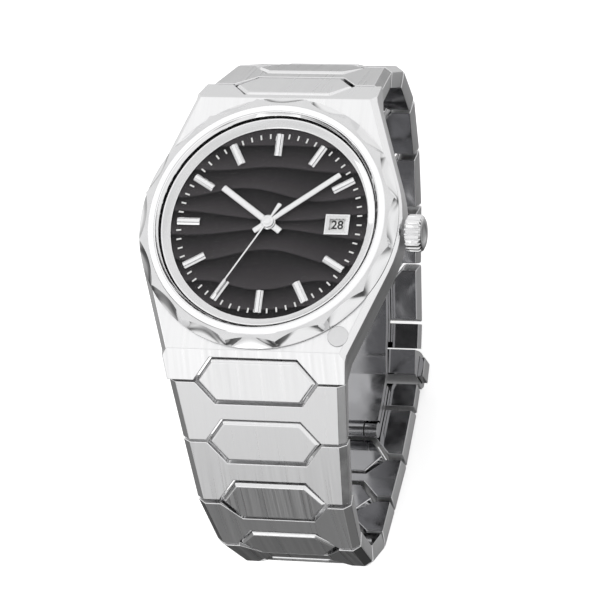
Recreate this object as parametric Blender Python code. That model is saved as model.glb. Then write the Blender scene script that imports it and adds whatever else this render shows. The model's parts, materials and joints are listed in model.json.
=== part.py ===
"""Wristwatch with an integrated steel bracelet and a butterfly folding clasp.

The dial faces +Z, 12 o'clock is +Y and the crown is at +X. The watch stands on the flat foot of its
clasp housing, and the origin lies on that foot, straight below the centre of the dial. Both bracelet strands start at the case lugs, follow the
curve of a wrist and meet at the clasp. A wide link is hinged to a hexagonal centre link at each seam.
"""

import math

import bmesh
import bpy
from mathutils import Matrix, Vector

MM = 0.001

# Head: heights are measured from the dial plane
DIAL_HEIGHT = 64.2 * MM
CASE_RADIUS = 19.9 * MM
CASE_DEPTH = 7.3 * MM
CASE_CHAMFER = 0.9 * MM
# Under this height the flank leans in towards the back
FLANK_FOOT, FLANK_LEAN = -4.5 * MM, 2.0 * MM
RIDGE_Y = 19.75 * MM
RIDGE_HALF_WIDTH = 13.95 * MM
LUG_END = Vector((23.4 * MM, -3.6 * MM))
LUG_HALF_WIDTH = 13.35 * MM
LUG_SLOPE = 44.0
BORE_RADIUS = 16.6 * MM
BEZEL_RADIUS = 19.6 * MM
BEZEL_TOP = 1.85 * MM
SCALLOPS = 16
SCALLOP_VERTEX_RADIUS = 19.25 * MM
SCALLOP_MIDDLE_RADIUS = 18.3 * MM
DIAL_RADIUS = 16.3 * MM
DIAL_THICKNESS = 0.5 * MM
INDEX_INNER, INDEX_OUTER = 10.5 * MM, 14.0 * MM
INDEX_WIDTH, INDEX_HEIGHT = 1.2 * MM, 0.35 * MM
DATE_X = 10.36 * MM
DATE_WINDOW = Vector((2.3 * MM, 1.75 * MM))
DATE_FRAME = Vector((3.7 * MM, 3.15 * MM))
CROWN_Z = -2.75 * MM
CROWN_RADIUS = 2.75 * MM
CROWN_START, CROWN_END = 20.3 * MM, 22.8 * MM
HOUR_ANGLE, MINUTE_ANGLE, SECOND_ANGLE = 305.0, 53.0, 210.0

# Bracelet: each strand is listed from the case to the clasp, slopes are degrees below the horizontal
LINK_THICKNESS = 3.2 * MM
PIN_DEPTH = 1.3 * MM
PIN_TO_SEAM = 1.75 * MM
SEAM_GAP = 0.35 * MM
HEX_GAP = 0.3 * MM
HEX_HEIGHT = 7.0 * MM
HEX_POINT = 2.6 * MM
HEX_SHARE = 0.68
SIDE_BEVEL = 1.1 * MM
SLOPES_12 = (50, 66, 92, 118, 130, 140, 150)
LENGTHS_12 = (9.4, 9.6, 9.8, 9.8, 9.8, 9.8, 9.4)
SLOPES_6 = (49.6, 52, 72, 93, 120, 143, 156, 166)
LENGTHS_6 = (10.2, 10.6, 10.6, 10.1, 9.4, 9.2, 9.2, 9.6)
FIRST_WIDTH, CLASP_WIDTH = 26.7 * MM, 18.2 * MM
TAPER_LINKS = 6

# Clasp: depths are measured inward from the outer face of the blocks
TIP_SLOPE_12, TIP_SLOPE_6 = 161, 173
TIP_LENGTH = 4.3 * MM
TIP_PIN_DEPTH = 1.6 * MM
BLADE_DEPTH, BLADE_THICKNESS = 3.5 * MM, 1.0 * MM
PLATE_DEPTH, PLATE_THICKNESS = 4.8 * MM, 1.2 * MM
BLADE_HALF_WIDTH, BARREL_HALF_WIDTH = 4.6 * MM, 2.4 * MM
BARREL_RADIUS = 1.25 * MM
# How far along each long block its blade's barrel lies, clear of the last centre link on the open side
BARREL_SHARES = {"12": 0.2, "6": 0.42}
BLADE_PAST_BARREL, PLATE_PAST_BARREL = 0.02, 0.1
BLADE_TIP_SHARE = 0.73
HOUSING_HALF_WIDTH = 9.0 * MM
BUTTON_HEIGHT = 3.4 * MM

STEEL = (0.72, 0.73, 0.75)

parts = bpy.data.collections.new("wristwatch")
cutters = bpy.data.collections.new("cutters")


def clear_scene():
    """Empties the scene and links the two collections."""
    for item in list(bpy.data.objects):
        bpy.data.objects.remove(item, do_unlink=True)
    for collection in (parts, cutters):
        bpy.context.scene.collection.children.link(collection)


def material(name, color, metallic, roughness):
    """A Principled material."""
    made = bpy.data.materials.new(name)
    made.use_nodes = True
    shader = made.node_tree.nodes["Principled BSDF"]
    shader.inputs["Base Color"].default_value = (*color, 1.0)
    shader.inputs["Metallic"].default_value = metallic
    shader.inputs["Roughness"].default_value = roughness
    return made


def add(name, bm, look, location=(0, 0, 0), rotation=(0, 0, 0)):
    """A new part from a bmesh, shaded smooth with sharp creases."""
    bmesh.ops.recalc_face_normals(bm, faces=bm.faces)
    mesh = bpy.data.meshes.new(name)
    bm.to_mesh(mesh)
    bm.free()
    mesh.shade_smooth()
    mesh.set_sharp_from_angle(angle=math.radians(35))
    item = bpy.data.objects.new(name, mesh)
    parts.objects.link(item)
    item.location = location
    item.rotation_euler = rotation
    color, metallic, roughness = look
    mesh.materials.append(material(name, color, metallic, roughness))
    return item


def loft(sections, closed_ring=False):
    """A closed skin over rings of points that all have the same count."""
    bm = bmesh.new()
    rings = [[bm.verts.new(point) for point in section] for section in sections]
    count = len(rings[0])
    pairs = list(zip(rings, rings[1:]))
    if closed_ring:
        pairs.append((rings[-1], rings[0]))
    for lower, upper in pairs:
        for i in range(count):
            j = (i + 1) % count
            bm.faces.new((lower[i], lower[j], upper[j], upper[i]))
    if not closed_ring:
        bm.faces.new(rings[0])
        bm.faces.new(rings[-1])
    return bm


def plate(outline, low, high):
    """A flat outline in X and Y carried from one height to another."""
    return loft([[(x, y, z) for x, y in outline] for z in (low, high)])


def side_plate(outline, low, high):
    """A flat outline in Y and Z carried along X."""
    return loft([[(x, y, z) for y, z in outline] for x in (low, high)])


def circle(radius, steps, start=0.0, share=1.0):
    """Points round a circle, or along a share of it."""
    count = steps if share == 1.0 else steps + 1
    turns = [start + 2 * math.pi * share * i / steps for i in range(count)]
    return [(radius * math.cos(a), radius * math.sin(a)) for a in turns]


def disc(radius, low, high, steps=64):
    return plate(circle(radius, steps), low, high)


def rod(radius, start, end, centre, steps=16):
    """A round bar along X. The centre is its Y and Z."""
    outline = [(centre[0] + y, centre[1] + z) for y, z in circle(radius, steps)]
    return side_plate(outline, start, end)


def turned(profile, steps=64):
    """A ring whose section is a closed profile of radius and height, swept round Z."""
    sections = []
    for i in range(steps):
        a = 2 * math.pi * i / steps
        sections.append([(r * math.cos(a), r * math.sin(a), z) for r, z in profile])
    return loft(sections, closed_ring=True)


def move(bm, matrix_or_vector):
    """Moves a bmesh by a vector or a matrix."""
    if isinstance(matrix_or_vector, Vector):
        bmesh.ops.translate(bm, verts=bm.verts, vec=matrix_or_vector)
    else:
        bmesh.ops.transform(bm, matrix=matrix_or_vector, verts=bm.verts)
    return bm


def combine(item, bm, operation):
    """A Boolean between a part and a bmesh, which becomes a hidden helper."""
    bmesh.ops.recalc_face_normals(bm, faces=bm.faces)
    mesh = bpy.data.meshes.new(f"{item.name}_tool")
    bm.to_mesh(mesh)
    bm.free()
    tool = bpy.data.objects.new(f"{item.name}_tool", mesh)
    cutters.objects.link(tool)
    tool.location = item.location
    tool.rotation_euler = item.rotation_euler
    tool.parent = item.parent
    tool.hide_render = True
    tool.display_type = "WIRE"
    modifier = item.modifiers.new(operation.lower(), "BOOLEAN")
    modifier.operation = operation
    modifier.object = tool


def pivot(name, location):
    """An empty that carries a moving piece on its joint's axis."""
    empty = bpy.data.objects.new(name, None)
    parts.objects.link(empty)
    empty.location = location
    return empty


def hang(item, empty):
    """Parents a piece built in world coordinates to the empty on its axis."""
    item.parent = empty
    item.location = Vector(item.location) - Vector(empty.location)


# ---------------------------------------------------------------- head
def case_outline(inset=0.0):
    """Plan of the case: round arcs at 3 and 9 o'clock, then straight tangents to the ridge and lugs."""
    radius, ridge = CASE_RADIUS - inset, RIDGE_HALF_WIDTH - inset
    reach = math.hypot(ridge, RIDGE_Y)
    tangent = math.atan2(RIDGE_Y, ridge) - math.acos(radius / reach)
    arc = [(radius * math.cos(a), radius * math.sin(a)) for a in (tangent * k / 4 for k in range(-4, 5))]
    lug = LUG_HALF_WIDTH - inset
    right = [(lug, -LUG_END[0] - MM), (ridge, -RIDGE_Y), *arc, (ridge, RIDGE_Y), (lug, LUG_END[0] + MM)]
    return right + [(-x, -y) for x, y in right]


def side_outline():
    """Side view of the case: flat top, sloping lugs, lug ends square to the slope, flat underside."""
    slope = math.radians(LUG_SLOPE)
    inner = LUG_END - LINK_THICKNESS * Vector((math.sin(slope), math.cos(slope)))
    half = [(17.5 * MM, -CASE_DEPTH), tuple(inner), tuple(LUG_END), (RIDGE_Y, 0.0)]
    return half + [(-y, z) for y, z in reversed(half)]


def hex_outline(width, grow=0.0):
    """A hexagon centred on the origin with points at +X and -X, grown outward by a clearance."""
    length = math.hypot(HEX_POINT, HEX_HEIGHT / 2)
    nx, ny = HEX_HEIGHT / 2 / length, HEX_POINT / length
    top = HEX_HEIGHT / 2 + grow
    tip = width / 2 + grow / nx
    shoulder = tip - top * ny / nx
    right = [(shoulder, -top), (tip, 0.0), (shoulder, top)]
    return right + [(-x, -y) for x, y in right]


def hex_width(link_width):
    return HEX_SHARE * link_width


def lug_notch(side):
    """The cutter for a lug's notch, a hexagon square to the lug's slope."""
    outline = hex_outline(hex_width(FIRST_WIDTH), HEX_GAP)
    bm = plate(outline, -LINK_THICKNESS * 2.2, LINK_THICKNESS)
    bmesh.ops.rotate(bm, verts=bm.verts, matrix=turn_x(math.radians(-LUG_SLOPE) * side))
    return move(bm, Vector((0, side * LUG_END[0], DIAL_HEIGHT + LUG_END[1])))


def turn_x(angle):
    return Matrix.Rotation(angle, 3, "X")


def head(bm):
    """Lifts a shape modelled about the dial plane to the watch's frame."""
    return move(bm, Vector((0, 0, DIAL_HEIGHT)))


def case():
    brushed = (STEEL, 1.0, 0.32)
    sections = [
        [(x, y, -CASE_DEPTH - MM) for x, y in case_outline(FLANK_LEAN)],
        [(x, y, FLANK_FOOT) for x, y in case_outline()],
        [(x, y, -CASE_CHAMFER) for x, y in case_outline()],
        [(x, y, MM * 0.02) for x, y in case_outline(CASE_CHAMFER)],
    ]
    body = add("case_body", head(loft(sections)), brushed)
    combine(body, head(side_plate(side_outline(), -30 * MM, 30 * MM)), "INTERSECT")
    combine(body, head(disc(BORE_RADIUS, -CASE_DEPTH * 2, CASE_DEPTH)), "DIFFERENCE")
    for side in (1, -1):
        combine(body, lug_notch(side), "DIFFERENCE")
    stem_centre = (0, DIAL_HEIGHT + CROWN_Z)
    combine(body, rod(0.95 * MM, 15 * MM, 22 * MM, stem_centre), "DIFFERENCE")
    rim = [(12.0, -8.9), (12.0, -9.3), (15.6, -9.3), (17.0, -8.7), (17.0, -7.42), (12.0, -7.42)]
    lid = add("case_back", head(turned([(r * MM, z * MM) for r, z in rim])), (STEEL, 1.0, 0.18))
    combine(lid, head(disc(12.5 * MM, -8.95 * MM, -7.6 * MM)), "UNION")
    gasket = [(15.5, -7.25), (16.4, -7.25), (16.4, -6.9), (15.5, -6.9)]
    add("case_back_gasket", head(turned([(r * MM, z * MM) for r, z in gasket], 48)), ((0.02, 0.02, 0.02), 0.0, 0.7))
    emblem = move(disc(1.55 * MM, 0.1 * MM, 0.25 * MM, 32), Vector((12.6 * MM, -17.2 * MM, 0)))
    add("emblem_disc", head(emblem), (STEEL, 1.0, 0.2))


def bezel():
    """A ring whose upper outer edge is scooped into concave scallops, one centred at 12 o'clock."""
    per_scallop = 6
    steps = SCALLOPS * per_scallop
    depth = SCALLOP_VERTEX_RADIUS - SCALLOP_MIDDLE_RADIUS
    sections = []
    for i in range(steps):
        a = 2 * math.pi * i / steps
        phase = ((i / per_scallop + 0.5) % 1.0 - 0.5) * 2.0
        rim = SCALLOP_MIDDLE_RADIUS + depth * phase**2
        profile = [
            (16.4 * MM, 0.1 * MM),
            (BEZEL_RADIUS, 0.1 * MM),
            (BEZEL_RADIUS, 0.4 * MM),
            (rim, BEZEL_TOP - 0.1 * MM),
            (17.85 * MM, BEZEL_TOP),
            (16.5 * MM, 1.35 * MM),
            (16.4 * MM, 1.25 * MM),
        ]
        sections.append([(r * math.sin(a), r * math.cos(a), z) for r, z in profile])
    add("bezel", head(loft(sections, closed_ring=True)), (STEEL, 1.0, 0.2))
    glass = add("crystal", head(disc(16.25 * MM, 0.95 * MM, 1.5 * MM)), ((0.9, 0.92, 0.95), 0.0, 0.02))
    glass.data.materials[0].node_tree.nodes["Principled BSDF"].inputs["Alpha"].default_value = 0.25
    flange = [(14.85, 0.08), (16.15, 0.08), (16.15, 0.82), (15.9, 0.82)]
    add("chapter_ring", head(turned([(r * MM, z * MM) for r, z in flange])), ((0.5, 0.5, 0.52), 1.0, 0.25))


def box_outline(width, length, x=0.0, y=0.0):
    return [
        (x - width / 2, y - length / 2),
        (x + width / 2, y - length / 2),
        (x + width / 2, y + length / 2),
        (x - width / 2, y + length / 2),
    ]


def dial():
    """The dial with its applied hour batons, left out at 3 o'clock where the date window is."""
    face = add("dial", head(disc(DIAL_RADIUS, -DIAL_THICKNESS, 0.0)), ((0.03, 0.03, 0.035), 0.2, 0.5))
    combine(face, head(disc(0.75 * MM, -MM, MM, 16)), "DIFFERENCE")
    window = plate(box_outline(*DATE_WINDOW, x=DATE_X), -MM, MM)
    combine(face, head(window), "DIFFERENCE")
    middle, length = (INDEX_INNER + INDEX_OUTER) / 2, INDEX_OUTER - INDEX_INNER
    for hour in range(12):
        if hour == 3:
            continue
        baton = plate(box_outline(INDEX_WIDTH, length, y=middle), -0.2 * MM, INDEX_HEIGHT)
        move(baton, Matrix.Rotation(-math.tau * hour / 12, 4, "Z"))
        combine(face, head(baton), "UNION")
    frame = add(
        "date_frame",
        head(plate(box_outline(*DATE_FRAME, x=DATE_X), 0.05 * MM, 0.2 * MM)),
        (STEEL, 1.0, 0.2),
    )
    combine(frame, head(plate(box_outline(*DATE_WINDOW, x=DATE_X), -MM, MM)), "DIFFERENCE")
    centre = pivot("date_disc_axis", (0, 0, DIAL_HEIGHT))
    ring = [(8.0, -1.15), (13.5, -1.15), (13.5, -0.65), (8.0, -0.65)]
    date = add("date_disc", turned([(r * MM, z * MM) for r, z in ring], 62), ((0.9, 0.9, 0.9), 0.0, 0.5))
    date.parent = centre


def movement():
    """The movement with its hand arbor, the stem and crown, and the winding rotor."""
    brass = ((0.75, 0.68, 0.5), 1.0, 0.35)
    works = add("movement", head(disc(15.4 * MM, -6.0 * MM, -1.3 * MM)), brass)
    combine(works, head(disc(0.35 * MM, -2.0 * MM, 0.72 * MM, 12)), "UNION")
    rotor_axis = pivot("rotor_axis", (0, 0, DIAL_HEIGHT))
    half = circle(14.5 * MM, 32, start=math.pi, share=0.5)
    weight = add("winding_rotor", plate(half, -7.1 * MM, -6.3 * MM), ((0.6, 0.6, 0.62), 1.0, 0.3))
    weight.parent = rotor_axis
    combine(weight, disc(2.5 * MM, -7.1 * MM, -6.3 * MM, 24), "UNION")
    stem_axis = pivot("stem_axis", (0, 0, DIAL_HEIGHT + CROWN_Z))
    stem = add("crown_stem", rod(0.7 * MM, 16.0 * MM, 20.15 * MM, (0, 0), 12), (STEEL, 1.0, 0.3))
    stem.parent = stem_axis
    flutes = 22
    outline = []
    for i in range(flutes * 4):
        a = math.tau * i / (flutes * 4)
        radius = CROWN_RADIUS - (0.28 * MM if i % 4 in (2, 3) else 0.0)
        outline.append((radius * math.cos(a), radius * math.sin(a)))
    small = [(0.86 * y, 0.86 * z) for y, z in outline]
    stations = (
        (CROWN_START, small),
        (CROWN_START + 0.35 * MM, outline),
        (CROWN_END - 0.45 * MM, outline),
        (CROWN_END, small),
    )
    crown = add("crown", loft([[(x, y, z) for y, z in ring] for x, ring in stations]), (STEEL, 1.0, 0.2))
    crown.parent = stem_axis


def hand(name, angle, length, tail, width, low, high):
    """A straight baton hand with a round hub, turning on the dial's centre."""
    axis = pivot(f"{name}_axis", (0, 0, DIAL_HEIGHT))
    turn = Matrix.Rotation(-math.radians(angle), 4, "Z")
    outline = box_outline(width, length + tail, y=(length - tail) / 2)
    blade = add(name, move(plate(outline, low, high), turn), (STEEL, 1.0, 0.15))
    blade.parent = axis
    combine(blade, move(disc(1.1 * MM, low, high, 24), turn), "UNION")
    bore = disc(0.45 * MM, low - MM, high + MM, 12)
    combine(blade, bore, "DIFFERENCE")


# ---------------------------------------------------------------- bracelet
def link_width(order):
    """The bracelet's width at a seam, tapering from the lug to the clasp."""
    share = min(order / TAPER_LINKS, 1.0)
    return FIRST_WIDTH + (CLASP_WIDTH - FIRST_WIDTH) * share**0.9


def link_sections(length, widths, notches):
    """Four sections through a wide link, inner face first. A notch of None leaves a plain end."""
    start, end = -PIN_TO_SEAM, length - PIN_TO_SEAM
    half_gap = SEAM_GAP / 2
    levels = (
        (PIN_DEPTH - LINK_THICKNESS, 0.6 * MM, 0.3 * MM),
        (0.0, 0.0, 0.0),
        (PIN_DEPTH - 0.8 * MM, 0.0, 0.0),
        (PIN_DEPTH, 0.0, SIDE_BEVEL),
    )
    sections = []
    for z, end_inset, side_inset in levels:
        right = []
        if notches[0]:
            (tip, shoulder, top) = notch_points(notches[0])
            right += [(shoulder, start + top), (tip, start + half_gap + end_inset)]
        right += [
            (widths[0] / 2 - side_inset, start + half_gap + end_inset),
            (widths[1] / 2 - side_inset, end - half_gap - end_inset),
        ]
        if notches[1]:
            (tip, shoulder, top) = notch_points(notches[1])
            right += [(tip, end - half_gap - end_inset), (shoulder, end - top)]
        left = [(-x, y) for x, y in reversed(right)]
        sections.append([(x, y, z) for x, y in right + left])
    return sections


def notch_points(width):
    """Where a hexagon's clearance outline meets the link end, and its flat shoulder."""
    outline = hex_outline(width, HEX_GAP)
    shoulder, top = outline[2]
    tip = outline[1][0]
    return tip - (tip - shoulder) * (SEAM_GAP / 2) / top, shoulder, top


def centre_link_sections(width):
    """Four sections through a hexagonal centre link whose first pin is at the origin."""
    levels = (
        (PIN_DEPTH - LINK_THICKNESS, -0.5 * MM),
        (0.0, 0.0),
        (PIN_DEPTH - 0.4 * MM, 0.0),
        (PIN_DEPTH, -0.4 * MM),
    )
    return [
        [(x, y + PIN_TO_SEAM, z) for x, y in hex_outline(width, grow)] for z, grow in levels
    ]


def direction(side, slope):
    """The way along a link, and its outward normal, as Y and Z."""
    a = math.radians(slope)
    return Vector((side * math.cos(a), -math.sin(a))), Vector((side * math.sin(a), math.cos(a)))


def placing(side, slope):
    """The Euler rotation that lays a link's +Y along the strand and its +Z outward."""
    a = math.radians(slope)
    return (-a, 0, 0) if side > 0 else (-a, 0, math.pi)


def strand(side, tag, slopes, lengths, clasp_block):
    """Builds one strand from the lug, and gives where the clasp's tip block is hinged."""
    brushed = (STEEL, 1.0, 0.32)
    along, out = direction(side, LUG_SLOPE)
    seam = Vector((side * LUG_END[0], DIAL_HEIGHT + LUG_END[1]))
    pin = seam - PIN_TO_SEAM * along - PIN_DEPTH * out
    before = LUG_SLOPE
    for i, (slope, length) in enumerate(zip(slopes, lengths)):
        last = i == len(slopes) - 1
        middle = (before + slope) / 2
        here = hex_width(link_width(i))
        add(
            f"centre_link_{tag}_{i + 1}",
            loft(centre_link_sections(here)),
            (STEEL, 1.0, 0.25),
            (0, *pin),
            placing(side, middle),
        )
        pin = pin + 2 * PIN_TO_SEAM * direction(side, middle)[0]
        widths = (link_width(i), link_width(i + 1))
        notches = (here, None if last else hex_width(link_width(i + 1)))
        name = clasp_block if last else f"wide_link_{tag}_{i + 1}"
        link = add(name, loft(link_sections(length * MM, widths, notches)), brushed, (0, *pin), placing(side, slope))
        if last:
            tip_seam = length * MM - PIN_TO_SEAM
            notch = box_outline(6.4 * MM, 5.0 * MM, y=tip_seam)
            combine(link, plate(notch, -5 * MM, 5 * MM), "DIFFERENCE")
            along, out = direction(side, slope)
            return pin + tip_seam * along + (PIN_DEPTH - TIP_PIN_DEPTH) * out
        pin = pin + (length * MM - 2 * PIN_TO_SEAM) * direction(side, slope)[0]
        before = slope
    return None


# ---------------------------------------------------------------- clasp
def tip_block(side, tag, pin, slope):
    """The last small block of a strand, with a tongue in the long block and a knuckle underneath."""
    top, bottom = TIP_PIN_DEPTH, TIP_PIN_DEPTH - LINK_THICKNESS
    half_gap = 0.2 * MM
    start, end = half_gap, TIP_LENGTH - half_gap
    outline = box_outline(CLASP_WIDTH - 2 * SIDE_BEVEL, end - start, y=(start + end) / 2)
    wide = box_outline(CLASP_WIDTH, end - start, y=(start + end) / 2)
    levels = ((bottom, wide), (top - 0.8 * MM, wide), (top, outline))
    sections = [[(x, y, z) for x, y in ring] for z, ring in levels]
    item = add(f"tip_block_{tag}", loft(sections), (STEEL, 1.0, 0.25), (0, *pin), placing(side, slope))
    tongue = [(-1.2 * MM, bottom + 0.6 * MM), (1.0 * MM, bottom), (1.0 * MM, top), (-1.2 * MM, top - 0.6 * MM)]
    combine(item, side_plate(tongue, -3.0 * MM, 3.0 * MM), "UNION")
    blade_axis = (TIP_LENGTH - 1.6 * MM, top - BLADE_DEPTH - BLADE_THICKNESS / 2)
    knuckle = [
        (blade_axis[0] - 0.7 * MM, bottom + 0.5 * MM),
        (blade_axis[0] - 0.7 * MM, blade_axis[1] - 0.4 * MM),
        (blade_axis[0] + 0.7 * MM, blade_axis[1] - 0.4 * MM),
        (blade_axis[0] + 0.7 * MM, bottom + 0.5 * MM),
    ]
    combine(item, side_plate(knuckle, -1.4 * MM, 1.4 * MM), "UNION")
    along, out = direction(side, slope)
    return pin + blade_axis[0] * along + blade_axis[1] * out


def outer_line(side, tip_pin, tip_slope, long_slope, long_length):
    """Corner points of the blocks' outer face: long block start, seam, tip block end."""
    along, out = direction(side, long_slope)
    tip_along, tip_out = direction(side, tip_slope)
    seam = tip_pin + TIP_PIN_DEPTH * out
    return (
        (seam - (long_length - 0.2 * MM) * along, out),
        (seam, ((out + tip_out) / 2).normalized()),
        (tip_pin + TIP_LENGTH * tip_along + TIP_PIN_DEPTH * tip_out, tip_out),
    )


def under(line, depth):
    return [point - depth * out for point, out in line]


def strip(points, outward, thickness):
    """The side view of a bent strip: its outer line and the same line pushed inward."""
    inner = [p - thickness * n for p, n in zip(points, outward)]
    return [tuple(p) for p in points] + [tuple(p) for p in reversed(inner)]


def between(a, b, share):
    return a + (b - a) * share


def blade(tag, line, free_axis, barrel):
    """A clasp arm: a bent strip from the knuckle under the tip block to the plate's barrel."""
    outward = [n for _, n in line]
    outer = under(line, BLADE_DEPTH)
    far = between(outer[0], outer[1], BARREL_SHARES[tag] + BLADE_PAST_BARREL)
    near = between(outer[1], outer[2], BLADE_TIP_SHARE)
    axis = pivot(f"blade_{tag}_axis", (0, *free_axis))
    side_line = [far, outer[1], near]
    sides = side_plate(strip(side_line, outward, BLADE_THICKNESS), -BLADE_HALF_WIDTH, BLADE_HALF_WIDTH)
    item = add(f"clasp_blade_{tag}", sides, (STEEL, 1.0, 0.15))
    slot = rod(1.45 * MM, -1.7 * MM, 1.7 * MM, free_axis)
    combine(item, slot, "DIFFERENCE")
    clear = rod(BARREL_RADIUS + 0.35 * MM, -BARREL_HALF_WIDTH - 0.25 * MM, BARREL_HALF_WIDTH + 0.25 * MM, barrel)
    combine(item, clear, "DIFFERENCE")
    for low in (BARREL_HALF_WIDTH + 0.25 * MM, -BLADE_HALF_WIDTH):
        high = low + BLADE_HALF_WIDTH - BARREL_HALF_WIDTH - 0.25 * MM
        combine(item, rod(BARREL_RADIUS, low, high, barrel), "UNION")
    hang(item, axis)
    for tool in cutters.objects:
        if tool.name.startswith(item.name):
            tool.parent = axis
            tool.location = Vector((0, 0, 0)) - Vector(axis.location)
    return item


def centre_plate(line_12, line_6, barrels):
    """The inner plate that spans both blades, with a hinge barrel at each end."""
    line = list(line_12) + list(reversed(line_6))
    outward = [n for _, n in line]
    points = under(line, PLATE_DEPTH)
    points[0] = between(points[0], points[1], BARREL_SHARES["12"] + PLATE_PAST_BARREL)
    points[-1] = between(points[-1], points[-2], BARREL_SHARES["6"] + PLATE_PAST_BARREL)
    outline = strip(points, outward, PLATE_THICKNESS)
    item = add("clasp_plate", side_plate(outline, -BLADE_HALF_WIDTH, BLADE_HALF_WIDTH), (STEEL, 1.0, 0.08))
    for barrel in barrels:
        wide = BLADE_HALF_WIDTH + MM
        for low in (-wide, BARREL_HALF_WIDTH):
            high = low + wide - BARREL_HALF_WIDTH
            combine(item, rod(BARREL_RADIUS + 0.3 * MM, low, high, barrel), "DIFFERENCE")
        combine(item, rod(BARREL_RADIUS, -BARREL_HALF_WIDTH, BARREL_HALF_WIDTH, barrel), "UNION")
    return item


def housing(line_12, line_6):
    """The catch housing between the tip blocks, with a flat foot and a pocket for each button."""
    end_12, end_6 = line_12[2], line_6[2]
    gap = 0.5 * MM
    top_12 = end_12[0] - (PLATE_DEPTH - 0.15 * MM) * end_12[1]
    top_6 = end_6[0] - (PLATE_DEPTH - 0.15 * MM) * end_6[1]
    side_12 = end_12[0].x - gap
    side_6 = end_6[0].x + gap
    low = 0.0
    outline = [
        (side_12 - 0.9 * MM, top_12.y - 0.3 * MM),
        (side_6 + 0.9 * MM, top_6.y + 0.3 * MM),
        (side_6 + 0.2 * MM, end_6[0].y + 1.2 * MM),
        (side_6, end_6[0].y - 0.2 * MM),
        (side_6 + 0.9 * MM, low),
        (side_12 - 0.3 * MM, low),
        (side_12, end_12[0].y - 0.4 * MM),
        (side_12 - 0.2 * MM, end_12[0].y + 1.4 * MM),
    ]
    item = add("catch_housing", side_plate(outline, -HOUSING_HALF_WIDTH, HOUSING_HALF_WIDTH), (STEEL, 1.0, 0.15))
    centre = Vector(((side_12 + side_6) / 2, low + 3.1 * MM))
    return item, centre


CORNERS = ((-1, -1), (1, -1), (1, 1), (-1, 1))


def buttons(catch, centre):
    """Two push buttons that slide into pockets in the housing's sides."""
    for side, tag in ((1, "crown_side"), (-1, "plain_side")):
        pocket = [(centre.x + dy * 1.75 * MM, centre.y + dz * (BUTTON_HEIGHT / 2 + 0.15 * MM)) for dy, dz in CORNERS]
        cut = side_plate(pocket, *sorted((side * 6.6 * MM, side * 11.0 * MM)))
        combine(catch, cut, "DIFFERENCE")
        outline = [(dy * 1.6 * MM, dz * BUTTON_HEIGHT / 2) for dy, dz in CORNERS]
        push = side_plate(outline, *sorted((side * 7.6 * MM, side * 9.9 * MM)))
        add(f"release_button_{tag}", push, (STEEL, 1.0, 0.08), (0, *centre))


def clasp(tip_pin_12, tip_pin_6):
    lines, barrels = [], []
    for side, tag, pin, tip_slope, slope, length in (
        (1, "12", tip_pin_12, TIP_SLOPE_12, SLOPES_12[-1], LENGTHS_12[-1] * MM),
        (-1, "6", tip_pin_6, TIP_SLOPE_6, SLOPES_6[-1], LENGTHS_6[-1] * MM),
    ):
        free_axis = tip_block(side, tag, pin, tip_slope)
        line = outer_line(side, pin, tip_slope, slope, length)
        depth = (BLADE_DEPTH + PLATE_DEPTH + PLATE_THICKNESS) / 2
        axis_line = under(line, depth)
        barrel = between(axis_line[0], axis_line[1], BARREL_SHARES[tag])
        blade(tag, line, free_axis, barrel)
        lines.append(line)
        barrels.append(barrel)
    centre_plate(lines[0], lines[1], barrels)
    block, centre = housing(lines[0], lines[1])
    buttons(block, centre)


def main():
    clear_scene()
    case()
    bezel()
    dial()
    movement()
    hand("hour_hand", HOUR_ANGLE, 9.2 * MM, 2.4 * MM, 0.95 * MM, 0.25 * MM, 0.37 * MM)
    hand("minute_hand", MINUTE_ANGLE, 12.6 * MM, 2.5 * MM, 0.85 * MM, 0.5 * MM, 0.62 * MM)
    hand("seconds_hand", SECOND_ANGLE, 13.0 * MM, 3.2 * MM, 0.3 * MM, 0.75 * MM, 0.83 * MM)
    tip_pin_12 = strand(1, "12", SLOPES_12, LENGTHS_12, "clasp_block_12")
    tip_pin_6 = strand(-1, "6", SLOPES_6, LENGTHS_6, "clasp_block_6")
    clasp(tip_pin_12, tip_pin_6)


main()
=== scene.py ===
"""A steel wristwatch dressed for a studio view: brushed case and bracelet, scalloped bezel and wave dial.

Lengths inside this file are millimetres in the watch's own frame, and heights on the head are
measured from the dial's plane, which lies DIAL_HEIGHT above the foot of the clasp.
"""

from __future__ import annotations

import json
import logging
import math
from dataclasses import dataclass
from enum import Enum

import bmesh
import bpy
import numpy as np
from mathutils import Matrix, Vector


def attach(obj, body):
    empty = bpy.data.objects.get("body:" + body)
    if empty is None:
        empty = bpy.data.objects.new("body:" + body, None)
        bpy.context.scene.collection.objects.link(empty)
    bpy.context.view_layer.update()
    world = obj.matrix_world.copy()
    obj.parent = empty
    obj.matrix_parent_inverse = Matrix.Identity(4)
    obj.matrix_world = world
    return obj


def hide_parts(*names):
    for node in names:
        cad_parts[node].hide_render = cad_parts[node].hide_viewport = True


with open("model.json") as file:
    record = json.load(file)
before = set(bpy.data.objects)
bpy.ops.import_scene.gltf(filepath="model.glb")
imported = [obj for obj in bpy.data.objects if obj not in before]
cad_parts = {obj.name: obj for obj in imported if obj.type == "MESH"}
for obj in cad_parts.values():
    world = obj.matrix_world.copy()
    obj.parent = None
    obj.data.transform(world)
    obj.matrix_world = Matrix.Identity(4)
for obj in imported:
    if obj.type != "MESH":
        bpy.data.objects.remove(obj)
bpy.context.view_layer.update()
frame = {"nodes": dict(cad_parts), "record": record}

log = logging.getLogger("wristwatch")

MM = 0.001
DIAL_HEIGHT = 64.2
DAYS = 31


# ---------------------------------------------------------------- meshes

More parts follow.
